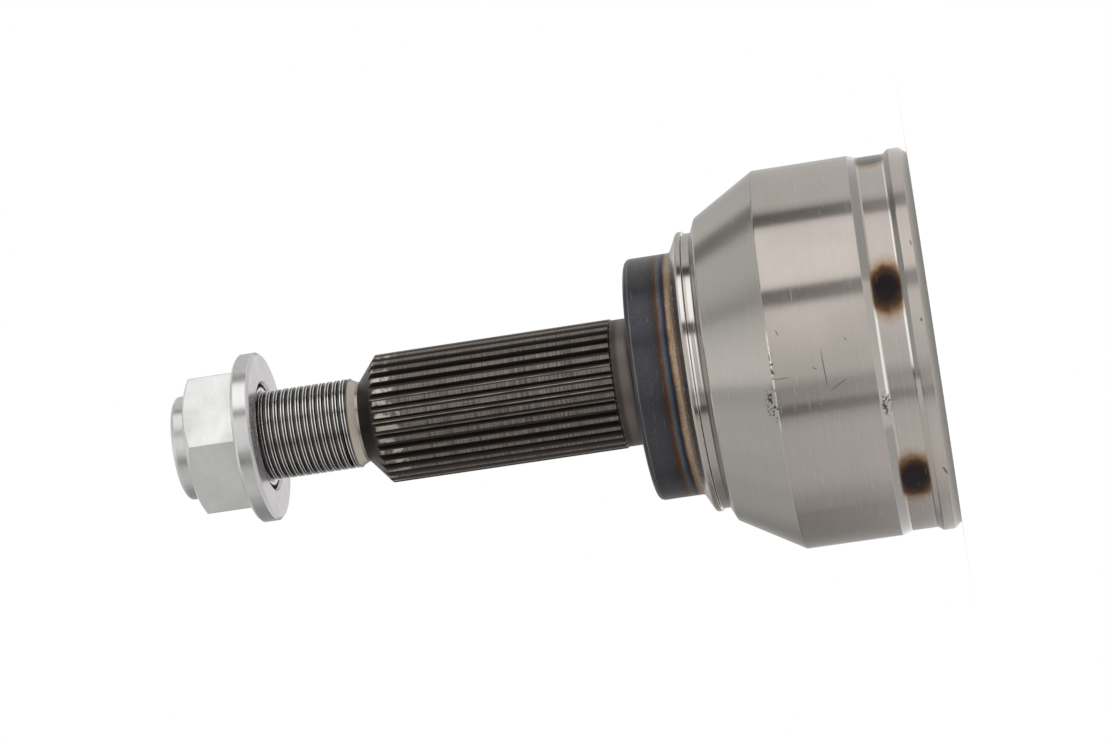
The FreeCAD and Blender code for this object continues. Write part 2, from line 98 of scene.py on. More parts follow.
def roughen(tree, shader, height, depth, rounding=None):
    """Fine relief of a given depth, over edges rounded to a radius if one is given."""
    inputs = {"Strength": 1.0, "Distance": depth, "Height": height}
    if rounding:
        inputs["Normal"] = put(tree, "Bevel", {"Radius": rounding}, samples=6).outputs[0]
    tree.links.new(put(tree, "Bump", inputs).outputs[0], shader["Normal"])


def new_group(name, inputs, outputs):
    """An effect that several materials share, with what it is given and what it gives."""
    group = bpy.data.node_groups.new(name, "ShaderNodeTree")
    for label, value in inputs.items():
        socket = group.interface.new_socket(label, in_out="INPUT", socket_type="NodeSocketFloat")
        socket.default_value = value
    for label in outputs:
        group.interface.new_socket(label, in_out="OUTPUT", socket_type="NodeSocketFloat")
    wanted = group.nodes.new("NodeGroupInput").outputs
    given = group.nodes.new("NodeGroupOutput").inputs
    return group, wanted, given


def use_group(tree, group, **inputs):
    """One use of a shared effect: its inputs linked or set, and what it gives."""
    node = tree.nodes.new("ShaderNodeGroup")
    node.node_tree = group
    for name, value in inputs.items():
        socket = node.inputs[name.replace("_", " ")]
        if isinstance(value, bpy.types.NodeSocket):
            tree.links.new(value, socket)
        else:
            socket.default_value = value
    return node.outputs


def new_material(name, **constants):
    """A material with its shader's unchanging values set on the shader itself."""
    material = bpy.data.materials.new(name)
    material.use_nodes = True
    shader = material.node_tree.nodes["Principled BSDF"]
    for label, value in constants.items():
        shader.inputs[label.replace("_", " ")].default_value = value
    return material, material.node_tree, shader.inputs


# Where a point lies on a turned part: its radius and height in mm, its turn in degrees.
place, _, given = new_group("place_on_axis", {}, ["Radius", "Turn", "Height"])
mm_per_metre = 1000.0
point = put(place, "SeparateXYZ", {0: put(place, "TexCoord").outputs["Object"]}).outputs
across = scaled(place, point[0], mm_per_metre)
deep = scaled(place, point[1], mm_per_metre)
spread = work_out(place, "ADD", scaled(place, across, across), scaled(place, deep, deep))
place.links.new(work_out(place, "SQRT", spread), given["Radius"])
turned = work_out(place, "DEGREES", work_out(place, "ARCTAN2", deep, across))
place.links.new(turned, given["Turn"])
place.links.new(scaled(place, point[2], mm_per_metre), given["Height"])

# Lathe lines: fine grooves round the axis, one feed apart, and slower changes from cut to cut.
lathe, wanted, given = new_group("lathe_lines", {"Feed": 0.25}, ["Groove", "Shade"])
spot = use_group(lathe, place)
run = work_out(lathe, "SUBTRACT", spot["Height"], scaled(lathe, spot["Radius"], 0.8))
step = work_out(lathe, "DIVIDE", run, wanted["Feed"])
drift = scaled(lathe, spot["Turn"], 0.006)
for size, label in ((1.0, "Groove"), (0.16, "Shade")):
    along = scaled(lathe, step, size)
    line = put(lathe, "CombineXYZ", {0: along, 1: work_out(lathe, "SINE", drift)}).outputs[0]
    noise = put(lathe, "TexNoise", {"Vector": line, "Scale": 1.0, "Detail": 2.0, "Roughness": 0.6})
    lathe.links.new(noise.outputs["Fac"], given[label])

# Handling: large soft clouds of grease and fingering, and a fine grain.
handling, wanted, given = new_group("handling", {"Cloud Size": 18.0}, ["Cloud", "Grain"])
where = put(handling, "TexCoord").outputs["Object"]
scale = work_out(handling, "DIVIDE", mm_per_metre, wanted["Cloud Size"])
cloud = put(handling, "TexNoise", {"Vector": where, "Scale": scale, "Detail": 4.0, "Roughness": 0.55})
grain = put(handling, "TexNoise", {"Vector": where, "Scale": 2600.0, "Detail": 2.0})
handling.links.new(cloud.outputs["Fac"], given["Cloud"])
handling.links.new(grain.outputs["Fac"], given["Grain"])

# Knocks: short thin scratches, lying three ways, where the part has been in a box with others.
knocks, wanted, given = new_group("knocks", {"Amount": 0.3}, ["Scratch"])
spot = use_group(knocks, place)
round_way = scaled(knocks, spot["Radius"], work_out(knocks, "RADIANS", spot["Turn"]))
flat = put(knocks, "CombineXYZ", {0: round_way, 1: spot["Height"]}).outputs[0]
limit = work_out(knocks, "SUBTRACT", 0.86, scaled(knocks, wanted["Amount"], 0.2))
most = 0.0
for lean in (0.5, 1.9, 2.8):
    laid = put(knocks, "Mapping", {"Vector": flat, "Rotation": (0.0, 0.0, lean),
                                   "Scale": (0.16, 4.5, 1.0)})
    streak = put(knocks, "TexNoise", {"Vector": laid.outputs[0], "Scale": 1.0, "Detail": 0.0}).outputs["Fac"]
    mark = fade(knocks, work_out(knocks, "SUBTRACT", streak, limit), 0.0, 0.05)
    most = work_out(knocks, "MAXIMUM", mark, most)
knocks.links.new(most, given["Scratch"])

# One mark at a given turn and height: a straight stroke or a round spot with soft edges.
stroke_sizes = {"At Turn": 0.0, "At Height": 0.0, "Length": 3.0, "Width": 0.2, "Lean": 0.0, "Soft": 0.5}
stroke, wanted, given = new_group("stroke", stroke_sizes, ["Mask"])
spot = use_group(stroke, place)
apart = work_out(stroke, "SUBTRACT", spot["Turn"], wanted["At Turn"])
apart = work_out(stroke, "WRAP", apart, 180.0, -180.0)
aside = scaled(stroke, work_out(stroke, "RADIANS", apart), spot["Radius"])
above = work_out(stroke, "SUBTRACT", spot["Height"], wanted["At Height"])
lean = work_out(stroke, "RADIANS", wanted["Lean"])
cosine = work_out(stroke, "COSINE", lean)
sine = work_out(stroke, "SINE", lean)
along = work_out(stroke, "ADD", scaled(stroke, aside, cosine), scaled(stroke, above, sine))
over = work_out(stroke, "SUBTRACT", scaled(stroke, above, cosine), scaled(stroke, aside, sine))
long_share = square(stroke, work_out(stroke, "ABSOLUTE", along), wanted["Length"])
wide_share = square(stroke, work_out(stroke, "ABSOLUTE", over), wanted["Width"])
away = work_out(stroke, "ADD", long_share, wide_share)
inner = work_out(stroke, "SUBTRACT", 1.0, wanted["Soft"])
mask = fade(stroke, away, inner, 1.0, 1.0, 0.0)
stroke.links.new(mask, given["Mask"])

bare_steel, tree, shader = new_material(
    "bare_turned_steel", Metallic=1.0, Anisotropic=0.95, Anisotropic_Rotation=0.25)
tree.links.new(put(tree, "Tangent", direction_type="RADIAL", axis="Z").outputs[0], shader["Tangent"])
spot = use_group(tree, place)
lines = use_group(tree, lathe, Feed=0.22)
touch = use_group(tree, handling, Cloud_Size=22.0)
scratch = use_group(tree, knocks, Amount=0.25)["Scratch"]
colour = tint(tree, fade(tree, touch["Cloud"], 0.3, 0.7), (0.47, 0.425, 0.395, 1), (0.42, 0.385, 0.355, 1))
cone = band(tree, spot["Height"], 41.0, 58.0, 0.4)
colour = tint(tree, cone, colour, (0.40, 0.385, 0.355, 1))
shade = fade(tree, lines["Shade"], 0.3, 0.7, 0.0, 0.06)
colour = tint(tree, shade, colour, (0.26, 0.235, 0.21, 1))
# Painted highlights and painted shade on narrow turned faces, where they catch the light or lose
# it: mouth chamfer, rim, both ends of the boot seat, the edge between barrel and cone, and the
# rolled ring above the cone. Most are laid over part of the turn only.
# Each is (bottom, top, first turn, last turn, painted colour).
for low, high, first, last, face in (
        (-1.0, 1.75, -180.0, 180.0, (0.42, 0.40, 0.375, 1)),
        (4.9, 6.1, -85.0, 40.0, (0.26, 0.25, 0.235, 1)),
        (4.9, 6.6, -87.0, -84.5, (0.20, 0.185, 0.17, 1)),
        (6.35, 6.65, -57.0, 40.0, (0.72, 0.70, 0.67, 1)),
        (6.1, 6.65, -83.5, -64.0, (0.84, 0.82, 0.80, 1)),
        (13.3, 15.5, -57.0, 40.0, (0.27, 0.255, 0.24, 1)),
        (13.1, 13.75, -91.0, -65.0, (0.84, 0.82, 0.80, 1)),
        (13.3, 15.5, -178.0, -100.0, (0.31, 0.295, 0.28, 1)),
        (40.35, 40.7, -96.0, -68.0, (0.66, 0.64, 0.61, 1)),
        (40.25, 40.8, -66.0, 60.0, (0.37, 0.355, 0.335, 1)),
        (58.1, 58.6, -180.0, 180.0, (0.09, 0.085, 0.08, 1)),
        (58.7, 59.9, -56.0, -33.0, (0.62, 0.60, 0.58, 1)),
        (60.7, 62.4, -56.0, -33.0, (0.62, 0.60, 0.58, 1)),
        (58.9, 59.1, -84.0, -60.5, (0.85, 0.83, 0.81, 1)),
        (60.2, 61.2, -90.5, -60.5, (0.88, 0.86, 0.84, 1)),
        (62.4, 63.2, -180.0, 180.0, (0.50, 0.485, 0.47, 1))):
    painted_strip = band(tree, spot["Height"], low, high, 0.15)
    stretch = band(tree, spot["Turn"], first, last, 1.5)
    colour = tint(tree, scaled(tree, painted_strip, stretch), colour, face)

# Burns over the tracks: black at the heart, brown round it, straw at the rim.
burn_pitch = 60.0
burn_height = 10.0
nearest = work_out(tree, "WRAP", spot["Turn"], burn_pitch / 2, -burn_pitch / 2)
aside = scaled(tree, work_out(tree, "RADIANS", nearest), spot["Radius"])
above = work_out(tree, "SUBTRACT", spot["Height"], burn_height)
where = put(tree, "TexCoord").outputs["Object"]
each = put(tree, "TexNoise", {"Vector": where, "Scale": 22.0, "Detail": 0.0}).outputs["Fac"]
ragged = put(tree, "TexNoise", {"Vector": where, "Scale": 420.0, "Detail": 2.0}).outputs["Fac"]
round_way = square(tree, aside, 8.8)
axial_way = square(tree, above, 6.6)
away = work_out(tree, "SQRT", work_out(tree, "ADD", round_way, axial_way))
away = work_out(tree, "ADD", away, scaled(tree, work_out(tree, "SUBTRACT", ragged, 0.5), 0.24))
away = work_out(tree, "ADD", away, fade(tree, each, 0.35, 0.65, -0.08, 0.08))
straw = fade(tree, away, 0.76, 1.18, 1.0, 0.0)
brown = fade(tree, away, 0.60, 0.94, 1.0, 0.0)
black = fade(tree, away, 0.38, 0.80, 1.0, 0.0)
on_seat = band(tree, spot["Height"], 6.2, 13.5, 0.45)
straw, brown, black = [scaled(tree, depth, on_seat) for depth in (straw, brown, black)]
colour = tint(tree, scaled(tree, straw, 0.72), colour, (0.29, 0.185, 0.085, 1))
colour = tint(tree, scaled(tree, brown, 0.92), colour, (0.105, 0.048, 0.018, 1))
colour = tint(tree, scaled(tree, black, 0.96), colour, (0.022, 0.020, 0.024, 1))

# Marks of use: strokes as (turn, height, half length, half width, lean).
for turn, height, length, width, tilt in (
        (-80.0, 27.8, 5.3, 0.16, 2.0), (-79.8, 30.1, 0.8, 0.14, 60.0), (-81.3, 38.5, 2.4, 0.13, 90.0),
        (-85.3, 24.8, 2.9, 0.12, 118.0), (-72.8, 21.6, 0.7, 0.14, 30.0), (-68.3, 38.0, 1.0, 0.16, 15.0),
        (-47.5, 2.4, 1.0, 0.2, 10.0), (-70.6, 2.6, 0.6, 0.3, 0.0), (-117.5, 2.3, 1.6, 0.35, 20.0),
        (20.0, 31.0, 4.0, 0.15, 25.0), (96.0, 24.0, 3.2, 0.14, 80.0), (150.0, 35.0, 2.5, 0.2, 10.0)):
    line = use_group(tree, stroke, At_Turn=turn, At_Height=height, Length=length, Width=width,
                     Lean=tilt)["Mask"]
    colour = tint(tree, scaled(tree, line, 0.75), colour, (0.10, 0.085, 0.075, 1))

# Rust pits, in clusters along the edge of the cone and beside the boot seat.
pits = put(tree, "TexNoise", {"Vector": where, "Scale": 1300.0, "Detail": 3.0})
pitted = fade(tree, pits.outputs["Fac"], 0.50, 0.57)
cluster = 0.0
for turn, height, length, width in ((-88.5, 41.5, 5.5, 2.2), (-93.0, 14.0, 3.8, 1.6),
                                    (-77.0, 40.4, 6.5, 0.6), (60.0, 42.0, 5.0, 2.0)):
    patch = use_group(tree, stroke, At_Turn=turn, At_Height=height, Length=length, Width=width,
                      Soft=0.9)["Mask"]
    cluster = work_out(tree, "MAXIMUM", patch, cluster)
pitted = scaled(tree, pitted, cluster)
colour = tint(tree, scaled(tree, pitted, 0.85), colour, (0.045, 0.03, 0.022, 1))
colour = tint(tree, scaled(tree, scratch, 0.3), colour, (0.62, 0.58, 0.54, 1))
tree.links.new(colour, shader["Base Color"])
rough = fade(tree, touch["Cloud"], 0.3, 0.7, 0.12, 0.16)
rough = work_out(tree, "ADD", rough, scaled(tree, brown, 0.22))
rough = work_out(tree, "ADD", rough, scaled(tree, pitted, 0.3))
tree.links.new(rough, shader["Roughness"])
height = work_out(tree, "ADD", lines["Groove"], scaled(tree, touch["Grain"], 0.35))
height = work_out(tree, "SUBTRACT", height, work_out(tree, "ADD", scratch, scaled(tree, pitted, 3.0)))
roughen(tree, shader, height, 0.000006, 0.00025)


# Bearing collar. The shoulder that the wheel bearing is pressed against is induction hardened
# with the stub: it comes out blue-black, and the heat leaves bands of purple, blue and straw
# that fade towards the bell.
collar_steel, tree, shader = new_material(
    "blued_collar", Metallic=1.0, Anisotropic=0.4, Anisotropic_Rotation=0.25)
tree.links.new(put(tree, "Tangent", direction_type="RADIAL", axis="Z").outputs[0], shader["Tangent"])
spot = use_group(tree, place)
lines = use_group(tree, lathe, Feed=0.3)
touch = use_group(tree, handling, Cloud_Size=9.0)
scratch = use_group(tree, knocks, Amount=0.4)["Scratch"]
wander = scaled(tree, work_out(tree, "SUBTRACT", touch["Cloud"], 0.5), 0.9)
heat = work_out(tree, "ADD", spot["Height"], wander)
up_collar = put(tree, "MapRange", {"Value": heat, "From Min": 64.0, "From Max": 77.0}).outputs["Result"]
bands = colour_ramp(tree, up_collar, (
    (0.0, (0.52, 0.46, 0.41)), (0.035, (0.40, 0.32, 0.25)), (0.077, (0.35, 0.27, 0.21)),
    (0.11, (0.43, 0.31, 0.19)), (0.15, (0.27, 0.18, 0.12)), (0.18, (0.055, 0.032, 0.028)),
    (0.20, (0.030, 0.026, 0.032)), (0.227, (0.030, 0.045, 0.075)), (0.265, (0.075, 0.11, 0.14)),
    (0.304, (0.15, 0.105, 0.09)), (0.342, (0.105, 0.055, 0.034)), (0.377, (0.07, 0.045, 0.034)),
    (0.42, (0.056, 0.048, 0.046)), (0.5, (0.062, 0.06, 0.068)), (0.7, (0.072, 0.071, 0.08)),
    (1.0, (0.065, 0.063, 0.07))))
mottle = fade(tree, touch["Grain"], 0.35, 0.65, 0.0, 0.35)
colour = tint(tree, mottle, bands, (0.03, 0.03, 0.036, 1))
# A thin painted highlight runs round the collar near its end edge.
collar_edge_highlight = band(tree, spot["Height"], 75.5, 75.75, 0.12)
colour = tint(tree, scaled(tree, collar_edge_highlight, 0.45), colour, (0.30, 0.29, 0.27, 1))
colour = tint(tree, scaled(tree, scratch, 0.35), colour, (0.30, 0.29, 0.28, 1))
tree.links.new(colour, shader["Base Color"])
tree.links.new(fade(tree, touch["Cloud"], 0.3, 0.7, 0.28, 0.42), shader["Roughness"])
height = work_out(tree, "ADD", lines["Groove"], scaled(tree, touch["Grain"], 0.6))
roughen(tree, shader, height, 0.000008, 0.0003)


# Splined stub. The teeth that drive the wheel hub are rolled and left with a dark phosphate
# skin, worn to bright steel at the ends of the teeth. A painted highlight runs along one edge of
# each tooth, on the side turned to the light only.
spline_steel, tree, shader = new_material("phosphated_spline", Metallic=0.85)
spot = use_group(tree, place)
touch = use_group(tree, handling, Cloud_Size=7.0)
teeth = 32
first_gap = 0.725
tooth = 360.0 / teeth
past_gap = work_out(tree, "SUBTRACT", spot["Turn"], first_gap)
past_gap = work_out(tree, "WRAP", past_gap, tooth / 2, -tooth / 2)
high = fade(tree, spot["Radius"], 16.6, 16.95)
crest = fade(tree, band(tree, past_gap, -4.2, 3.0, 0.3), 0.0, 1.0, 1.0, 0.0)
crest = scaled(tree, crest, high)
# A painted highlight along one flank of each tooth gap, laid only over the turns facing the light.
lit_side = band(tree, spot["Turn"], -92.0, -48.0, 7.0)
painted_tooth_highlight = scaled(tree, band(tree, past_gap, -1.6, -0.5, 0.3), lit_side)
patchy = fade(tree, touch["Cloud"], 0.35, 0.6, 0.35, 0.75)
down_tooth = put(tree, "CombineXYZ", {0: scaled(tree, spot["Turn"], 2.4),
                                      1: scaled(tree, spot["Height"], 0.11)}).outputs[0]
streak = put(tree, "TexNoise", {"Vector": down_tooth, "Scale": 1.0, "Detail": 4.0, "Roughness": 0.7})
streak = streak.outputs["Fac"]
cross = use_group(tree, lathe, Feed=0.3)["Groove"]
rubbed = work_out(tree, "ADD", scaled(tree, streak, 0.5), scaled(tree, cross, 0.5))
skin = tint(tree, fade(tree, rubbed, 0.35, 0.65), (0.055, 0.046, 0.041, 1), (0.24, 0.212, 0.19, 1))
skin = tint(tree, crest, (0.050, 0.042, 0.037, 1), skin)
blot = put(tree, "CombineXYZ", {0: scaled(tree, spot["Turn"], 0.16),
                                1: scaled(tree, spot["Height"], 0.35)}).outputs[0]
blot = put(tree, "TexNoise", {"Vector": blot, "Scale": 1.0, "Detail": 3.0}).outputs["Fac"]
ragged_end = work_out(tree, "ADD", spot["Height"], fade(tree, touch["Cloud"], 0.35, 0.65, -1.6, 1.6))
end = band(tree, ragged_end, 141.0, 146.5, 0.7)
end = scaled(tree, end, fade(tree, blot, 0.42, 0.56))
end = scaled(tree, end, crest)
neck = fade(tree, spot["Height"], 81.9, 83.4, 1.0, 0.0)
# The middle of the neck is painted lighter, as a painted highlight across its hollow.
neck_highlight = band(tree, spot["Height"], 78.9, 81.2, 0.7)
skin = tint(tree, neck, skin, (0.062, 0.051, 0.045, 1))
skin = tint(tree, scaled(tree, neck_highlight, 0.8), skin, (0.17, 0.145, 0.13, 1))
dark_cone = fade(tree, spot["Height"], 147.0, 147.9)
skin = tint(tree, dark_cone, skin, (0.016, 0.015, 0.015, 1))
# The painted tooth highlight and the bright wear at the tooth ends lighten the skin together.
highlight_and_wear = scaled(tree, painted_tooth_highlight, patchy)
highlight_and_wear = work_out(tree, "MAXIMUM", highlight_and_wear, scaled(tree, end, 0.9))
highlight_and_wear = scaled(tree, highlight_and_wear, fade(tree, spot["Height"], 146.4, 147.4, 1.0, 0.0))
highlight_and_wear = scaled(tree, highlight_and_wear, fade(tree, spot["Height"], 82.6, 83.4))
tree.links.new(tint(tree, highlight_and_wear, skin, (0.50, 0.46, 0.42, 1)), shader["Base Color"])
tree.links.new(fade(tree, highlight_and_wear, 0.0, 1.0, 0.40, 0.26), shader["Roughness"])
height = work_out(tree, "ADD", rubbed, scaled(tree, touch["Grain"], 0.5))
roughen(tree, shader, height, 0.000025, 0.00018)


# Stub thread, M24 x 2. The end of the stub is turned down to a bare neck, and its thread is
# rolled. Its flanks and root are painted dark as shade, and its crests near white as a painted
# highlight over the rubbing of the nut.
thread_steel, tree, shader = new_material("rolled_thread", Metallic=1.0)
spot = use_group(tree, place)
touch = use_group(tree, handling, Cloud_Size=6.0)
# Crests painted near white as a highlight; flanks and root painted dark as shade.
crest = fade(tree, spot["Radius"], 11.80, 11.90)
flank_shade = tint(tree, fade(tree, touch["Cloud"], 0.3, 0.7), (0.050, 0.047, 0.045, 1), (0.085, 0.080, 0.076, 1))
root = fade(tree, spot["Radius"], 10.85, 11.15, 1.0, 0.0)
flank_shade = tint(tree, root, flank_shade, (0.10, 0.095, 0.09, 1))
colour = tint(tree, crest, flank_shade, (0.92, 0.91, 0.90, 1))
bare = fade(tree, spot["Height"], 153.9, 154.4, 1.0, 0.0)
colour = tint(tree, bare, colour, (0.36, 0.32, 0.27, 1))
tree.links.new(colour, shader["Base Color"])
tree.links.new(fade(tree, touch["Cloud"], 0.3, 0.7, 0.24, 0.34), shader["Roughness"])
roughen(tree, shader, touch["Grain"], 0.000008)


def pick(test):
    """In edit mode, selects the vertices whose place passes the test, and nothing else."""
    bpy.ops.mesh.select_mode(type="VERT")
    bpy.ops.mesh.select_all(action="DESELECT")
    mesh = bmesh.from_edit_mesh(bpy.context.edit_object.data)
    for vertex in mesh.verts:
        vertex.select_set(test(vertex.co))
    mesh.select_flush(True)
    bmesh.update_edit_mesh(bpy.context.edit_object.data)


# The ridge of the thread: its section is drawn at one side, narrowed to the crest, hollowed
# between the two lips that rolling leaves there, and screwed up the stub. The ends are cut square.
bpy.ops.object.select_all(action="DESELECT")
pitch = 0.002
turns = 25
middle = 0.01132
crest_start = 0.0118
lowest = 0.1517
thread_start = 0.1543
thread_end = 0.1987
bpy.ops.mesh.primitive_plane_add(size=0.0012, location=(middle, 0, lowest), rotation=(math.pi / 2, 0, 0))
thread = bpy.context.active_object
thread.name = "stub_thread_ridge"
bpy.ops.object.transform_apply(location=True, rotation=True, scale=True)
bpy.ops.object.mode_set(mode="EDIT")
bpy.ops.mesh.delete(type="ONLY_FACE")
for side, width in ((1, 0.78), (-1, 1.0)):
    pick(lambda corner: (corner.x - middle) * side > 0)
    bpy.ops.transform.resize(value=(1, 1, width))
pick(lambda corner: corner.x > middle)
bpy.ops.mesh.subdivide(number_cuts=9)
for near, far, shift in ((0.0, 0.00025, -0.00022), (0.00025, 0.001, 0.00003)):
    pick(lambda corner: corner.x > crest_start and near <= abs(corner.z - lowest) < far)
    bpy.ops.transform.translate(value=(shift, 0, 0))
bpy.ops.object.mode_set(mode="OBJECT")
screw = thread.modifiers.new("helix", "SCREW")
screw.axis = "Z"
screw.angle = 2 * math.pi
screw.screw_offset = pitch
screw.iterations = turns
screw.steps = screw.render_steps = 72
screw.use_merge_vertices = True
screw.merge_threshold = 0.000001
bpy.ops.object.modifier_apply(modifier="helix")
bpy.ops.object.mode_set(mode="EDIT")
for height, outer in ((thread_start, False), (thread_end, True)):
    bpy.ops.mesh.select_all(action="SELECT")
    bpy.ops.mesh.bisect(plane_co=(0, 0, height), plane_no=(0, 0, 1), use_fill=True,
                        clear_outer=outer, clear_inner=not outer)
bpy.ops.mesh.select_all(action="SELECT")
bpy.ops.mesh.normals_make_consistent(inside=False)
bpy.ops.object.mode_set(mode="OBJECT")
bpy.ops.object.shade_smooth_by_angle(angle=math.radians(40))
thread.data.materials.append(thread_steel)
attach(thread, "forging")


# Bell, inside. The cavity that the cage and the balls run in holds a film of clear grease, which
# makes it darker and wetter than the outside. The floors of the tracks and the mouth are lighter.
inside_steel, tree, shader = new_material("oiled_bell_inside", Metallic=1.0, Coat_Roughness=0.08)
spot = use_group(tree, place)
lines = use_group(tree, lathe, Feed=0.3)
touch = use_group(tree, handling, Cloud_Size=14.0)
colour = tint(tree, fade(tree, touch["Cloud"], 0.35, 0.65), (0.34, 0.31, 0.28, 1), (0.22, 0.19, 0.16, 1))
ground = fade(tree, spot["Radius"], 38.2, 38.8)
colour = tint(tree, ground, colour, (0.40, 0.38, 0.36, 1))
tree.links.new(colour, shader["Base Color"])
tree.links.new(fade(tree, touch["Cloud"], 0.3, 0.7, 0.22, 0.36), shader["Roughness"])
tree.links.new(fade(tree, touch["Cloud"], 0.4, 0.6, 0.1, 0.6), shader["Coat Weight"])
roughen(tree, shader, lines["Groove"], 0.000006)



def dress(label, *finishes):
    """Gives a piece its finishes, in place of the plain one that it came with."""
    materials = nodes[label].data.materials
    materials.clear()
    for finish in finishes:
        materials.append(finish)


# A face is inside the bell when it lies within the cavity and doesn't face outwards. Above the
# bell, the finish changes at the foot of the collar, of the spline and of the thread.
collar_foot = 64.0
spline_foot = 76.95
thread_foot = 151.4
finishes = (bare_steel, collar_steel, spline_steel, thread_steel, inside_steel)
dress("outer_race", *finishes)
for face in nodes["outer_race"].data.polygons:
    height = face.center.z * mm_per_metre
    radius = face.center.xy.length * mm_per_metre
    outward = face.normal.xy.dot(face.center.xy.normalized())
    if height < 59.5 and radius < 45.3 and outward < 0.05 and (height < 55 or radius < 30):
        finish = inside_steel
    elif height > thread_foot:
        finish = thread_steel
    elif height > spline_foot:
        finish = spline_steel
    elif height > collar_foot:
        finish = collar_steel
    else:
        finish = bare_steel
    face.material_index = finishes.index(finish)


# Inner race. A ball of bearing steel that is splined onto the half shaft. It is hardened and
# ground outside, with the marks of the wheel round it, and its splined bore is left dark.
race_steel, tree, shader = new_material("ground_race", Metallic=1.0)
spot = use_group(tree, place)
lines = use_group(tree, lathe, Feed=0.35)
touch = use_group(tree, handling, Cloud_Size=9.0)
scratch = use_group(tree, knocks, Amount=0.4)["Scratch"]
colour = tint(tree, fade(tree, touch["Cloud"], 0.3, 0.7), (0.50, 0.48, 0.45, 1), (0.36, 0.34, 0.32, 1))
bore = fade(tree, spot["Radius"], 14.8, 15.6, 1.0, 0.0)
colour = tint(tree, bore, colour, (0.20, 0.18, 0.165, 1))
colour = tint(tree, scaled(tree, scratch, 0.3), colour, (0.70, 0.68, 0.66, 1))
tree.links.new(colour, shader["Base Color"])
tree.links.new(fade(tree, touch["Cloud"], 0.3, 0.7, 0.16, 0.32), shader["Roughness"])
height = work_out(tree, "ADD", lines["Groove"], scaled(tree, touch["Grain"], 0.4))
roughen(tree, shader, height, 0.000005, 0.0003)
dress("inner_race", race_steel)


# Ball cage. A spherical ring of case-hardened steel with six windows, which runs between two
# spheres. It is dark from hardening, and its turning marks are rubbed lighter.
cage_steel, tree, shader = new_material("hardened_cage", Metallic=1.0)
lines = use_group(tree, lathe, Feed=0.3)
touch = use_group(tree, handling, Cloud_Size=8.0)
scratch = use_group(tree, knocks, Amount=0.5)["Scratch"]
colour = tint(tree, fade(tree, touch["Cloud"], 0.3, 0.7), (0.10, 0.094, 0.09, 1), (0.19, 0.175, 0.16, 1))
worn = fade(tree, lines["Shade"], 0.45, 0.7, 0.0, 0.3)
colour = tint(tree, worn, colour, (0.42, 0.40, 0.38, 1))
colour = tint(tree, scaled(tree, scratch, 0.4), colour, (0.55, 0.53, 0.5, 1))
tree.links.new(colour, shader["Base Color"])
tree.links.new(fade(tree, touch["Cloud"], 0.3, 0.7, 0.26, 0.42), shader["Roughness"])
height = work_out(tree, "ADD", lines["Groove"], scaled(tree, touch["Grain"], 0.5))
roughen(tree, shader, height, 0.000006, 0.0003)
dress("ball_cage", cage_steel)


# Balls. Six chrome-steel balls that carry the drive from race to bell. They are lapped to a
# mirror and hold a thin, patchy film of grease.
ball_steel, tree, shader = new_material("lapped_ball", Metallic=1.0, Coat_Roughness=0.1)
touch = use_group(tree, handling, Cloud_Size=5.0)
colour = tint(tree, fade(tree, touch["Cloud"], 0.35, 0.65), (0.62, 0.60, 0.58, 1), (0.52, 0.49, 0.45, 1))
tree.links.new(colour, shader["Base Color"])
tree.links.new(fade(tree, touch["Cloud"], 0.35, 0.65, 0.05, 0.14), shader["Roughness"])
tree.links.new(fade(tree, touch["Cloud"], 0.45, 0.6, 0.0, 0.5), shader["Coat Weight"])
for number in range(1, 7):
    dress("ball_%d" % number, ball_steel)


# Shaft circlip. A split ring of black spring steel, sprung into a groove of the inner race to
# hold the half shaft. Its black skin is rubbed greyer in patches.
spring_steel, tree, shader = new_material("black_spring_steel", Metallic=0.9)
touch = use_group(tree, handling, Cloud_Size=3.0)
colour = tint(tree, fade(tree, touch["Cloud"], 0.4, 0.7), (0.035, 0.034, 0.034, 1), (0.15, 0.145, 0.14, 1))
tree.links.new(colour, shader["Base Color"])
tree.links.new(fade(tree, touch["Cloud"], 0.3, 0.7, 0.3, 0.45), shader["Roughness"])
roughen(tree, shader, touch["Grain"], 0.00001, 0.0002)
dress("shaft_circlip", spring_steel)


